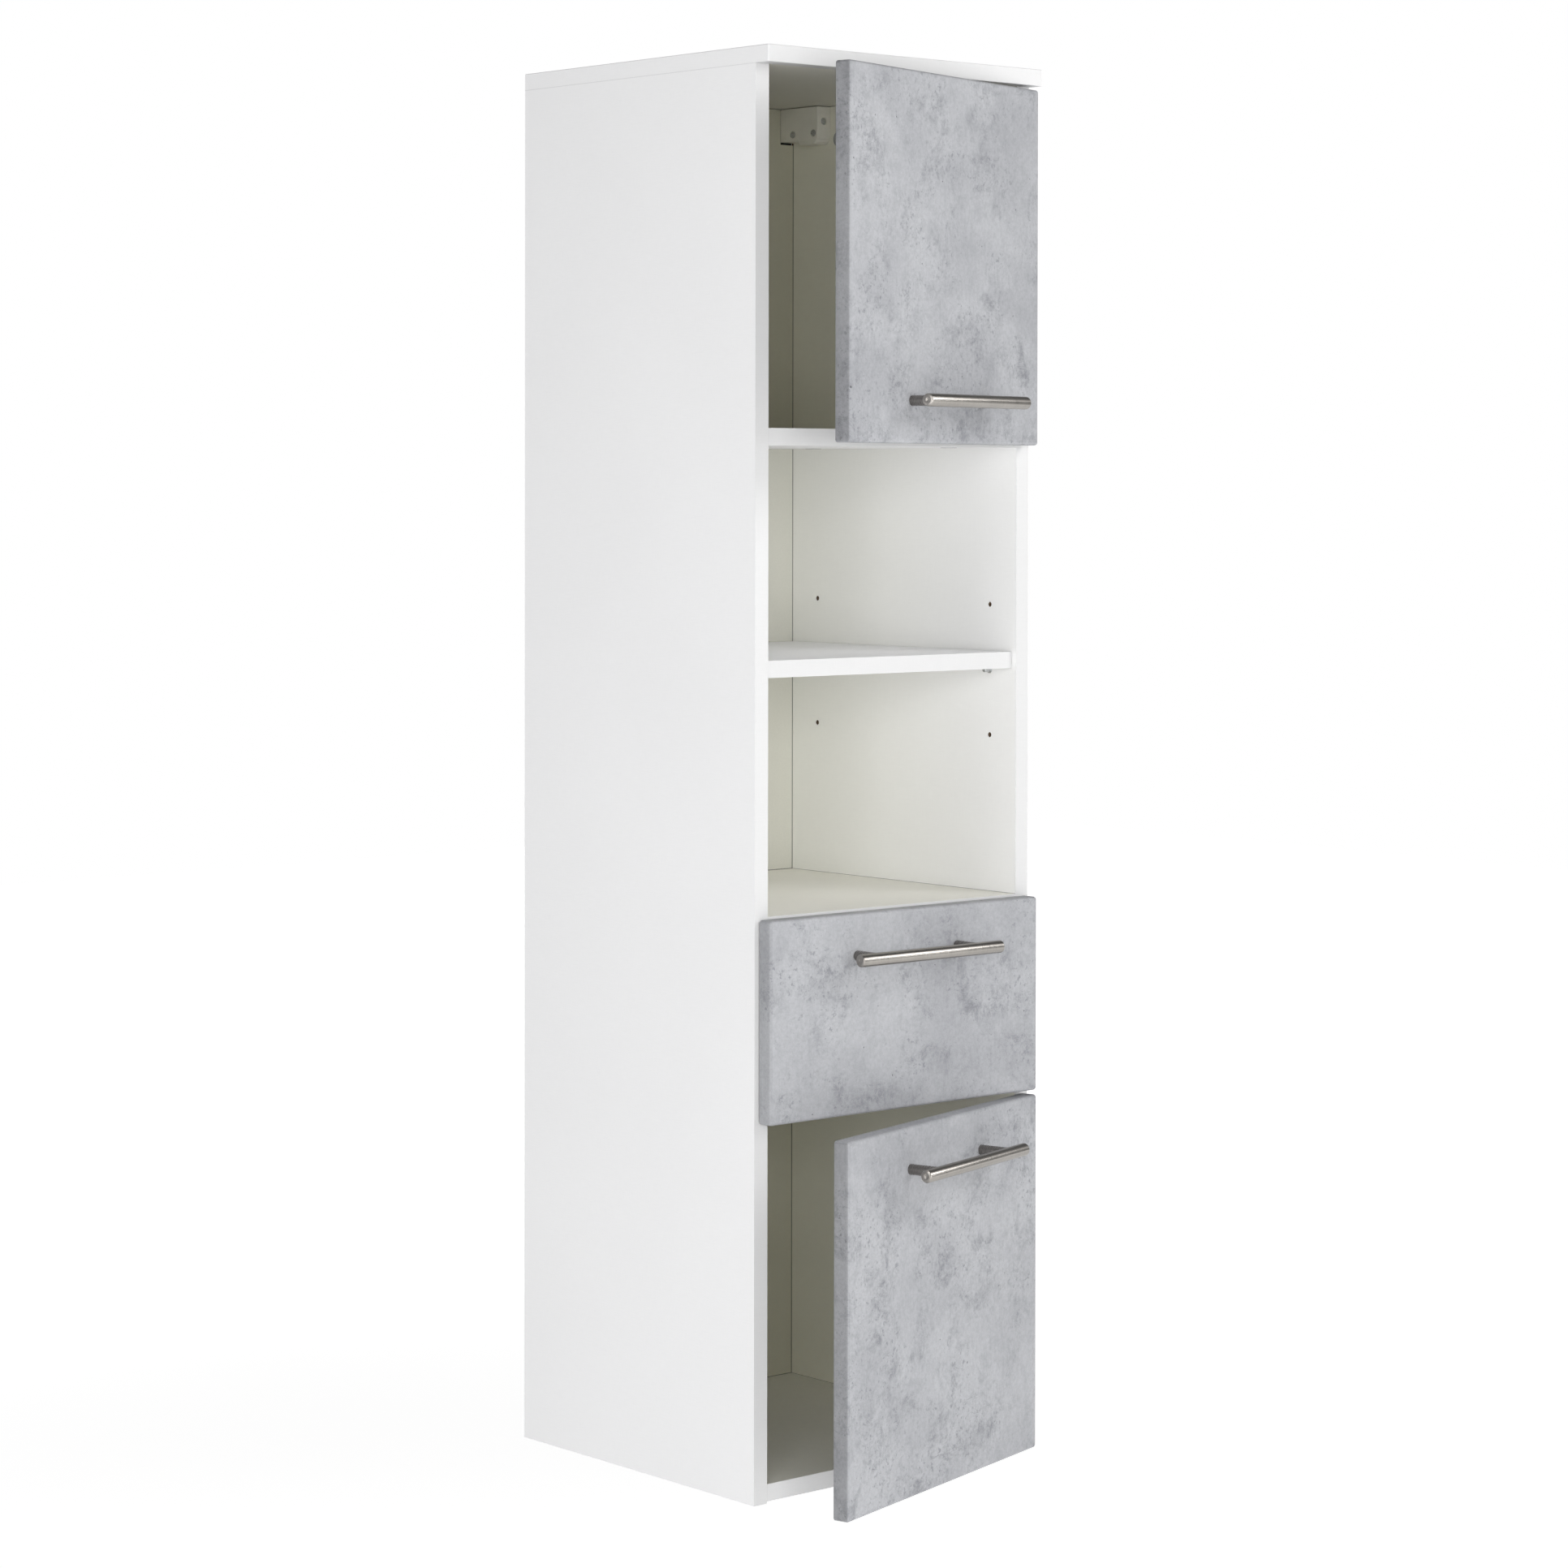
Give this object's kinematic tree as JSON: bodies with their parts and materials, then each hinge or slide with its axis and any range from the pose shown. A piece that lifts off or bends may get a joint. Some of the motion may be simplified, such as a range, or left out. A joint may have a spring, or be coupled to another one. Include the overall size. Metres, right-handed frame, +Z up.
{
  "type": "bathroom cabinet",
  "caption": "Tall narrow wall-hung bathroom cabinet: hinged doors above and below, an open shelved niche and a drawer between them, and round bar handles.",
  "frame": {"origin": "middle of the wall rail's screw holes, on the plane of the wall", "axes": "+Z up, +Y out of the rear into the wall, +X to the right seen from the front"},
  "size_m": [0.35, 0.4745, 1.345],
  "materials": {
    "white_melamine": "white melamine-faced chipboard, satin",
    "white_hardboard": "thin white hardboard",
    "concrete_decor": "chipboard with a matt grey concrete-look foil",
    "brushed_metal": "brushed nickel look",
    "zinc_steel": "bright zinc-plated steel",
    "cast_zinc": "die-cast zinc",
    "white_plastic": "white moulded plastic",
    "roller_plastic": "white nylon",
    "bumper_felt": "pale felt",
    "beech": "plain beech",
    "drawer_board": "white melamine-faced chipboard, thinner",
    "white_steel": "white powder-coated steel"
  },
  "bodies": {
    "carcass": {"top_panel": "white_melamine", "left_side_panel": "white_melamine", "right_side_panel": "white_melamine", "bottom_panel": "white_melamine", "niche_floor": "white_melamine", "upper_fixed_shelf": "white_melamine", "adjustable_shelf": "white_melamine", "back_panel": "white_hardboard", "wall_rail": "zinc_steel", "hanger_hooks": "zinc_steel", "cam_bolts": "zinc_steel", "hanger_fixing_screws": "zinc_steel", "hanger_adjusting_screws": "zinc_steel", "hinge_plate_screws": "zinc_steel", "runner_screws": "zinc_steel", "shelf_pins": "zinc_steel", "upper_door_top_hinge_arm": "zinc_steel", "upper_door_top_hinge_plate": "zinc_steel", "upper_door_bottom_hinge_arm": "zinc_steel", "upper_door_bottom_hinge_plate": "zinc_steel", "lower_door_top_hinge_arm": "zinc_steel", "lower_door_top_hinge_plate": "zinc_steel", "lower_door_bottom_hinge_arm": "zinc_steel", "lower_door_bottom_hinge_plate": "zinc_steel", "cam_locks": "cast_zinc", "left_hanger_housing": "white_plastic", "right_hanger_housing": "white_plastic", "dowels": "beech", "left_cabinet_runner": "white_steel", "right_cabinet_runner": "white_steel"},
    "upper_door": {"upper_door_panel": "concrete_decor", "upper_door_handle_bar": "brushed_metal", "upper_door_handle_posts": "brushed_metal", "upper_door_handle_screws": "zinc_steel", "upper_door_top_hinge_cup": "zinc_steel", "upper_door_bottom_hinge_cup": "zinc_steel", "upper_door_hinge_pins": "zinc_steel", "upper_door_hinge_screws": "zinc_steel", "upper_door_bumpers": "bumper_felt"},
    "lower_door": {"lower_door_panel": "concrete_decor", "lower_door_handle_bar": "brushed_metal", "lower_door_handle_posts": "brushed_metal", "lower_door_handle_screws": "zinc_steel", "lower_door_top_hinge_cup": "zinc_steel", "lower_door_bottom_hinge_cup": "zinc_steel", "lower_door_hinge_pins": "zinc_steel", "lower_door_hinge_screws": "zinc_steel", "lower_door_bumpers": "bumper_felt"},
    "drawer": {"drawer_front": "concrete_decor", "drawer_handle_bar": "brushed_metal", "drawer_handle_posts": "brushed_metal", "drawer_handle_screws": "zinc_steel", "drawer_left_side": "drawer_board", "drawer_right_side": "drawer_board", "drawer_back": "drawer_board", "drawer_bottom": "white_hardboard", "left_drawer_runner": "white_steel", "right_drawer_runner": "white_steel"},
    "front_rollers": {"front_rollers": "roller_plastic"},
    "rear_rollers": {"rear_rollers": "roller_plastic"}
  },
  "joints": [
    {"name": "upper_door_hinge", "type": "hinge", "parent": "carcass", "child": "upper_door", "pos_m": [0.166, -0.361, -0.1385], "axis": [0, 0, 1], "range_deg": [-15.8, 79.2]},
    {"name": "lower_door_hinge", "type": "hinge", "parent": "carcass", "child": "lower_door", "pos_m": [0.166, -0.361, -1.1155], "axis": [0, 0, 1], "range_deg": [-15.8, 79.2]},
    {"name": "drawer_slide", "type": "slide", "parent": "carcass", "child": "drawer", "axis": [0, -1, 0], "range_m": [0, 0.22]},
    {"name": "front_roller_spin", "type": "hinge", "parent": "carcass", "child": "front_rollers", "pos_m": [0, -0.335, -0.9085], "axis": [1, 0, 0], "range_deg": [-10, 1410]},
    {"name": "rear_roller_spin", "type": "hinge", "parent": "drawer", "child": "rear_rollers", "pos_m": [0, -0.064, -0.9085], "axis": [1, 0, 0], "range_deg": [-10, 1410]}
  ],
  "couplings": [
    {"joint": "front_roller_spin", "follows": "drawer_slide", "rad_per_m": 111.11},
    {"joint": "rear_roller_spin", "follows": "drawer_slide", "rad_per_m": 111.11}
  ]
}
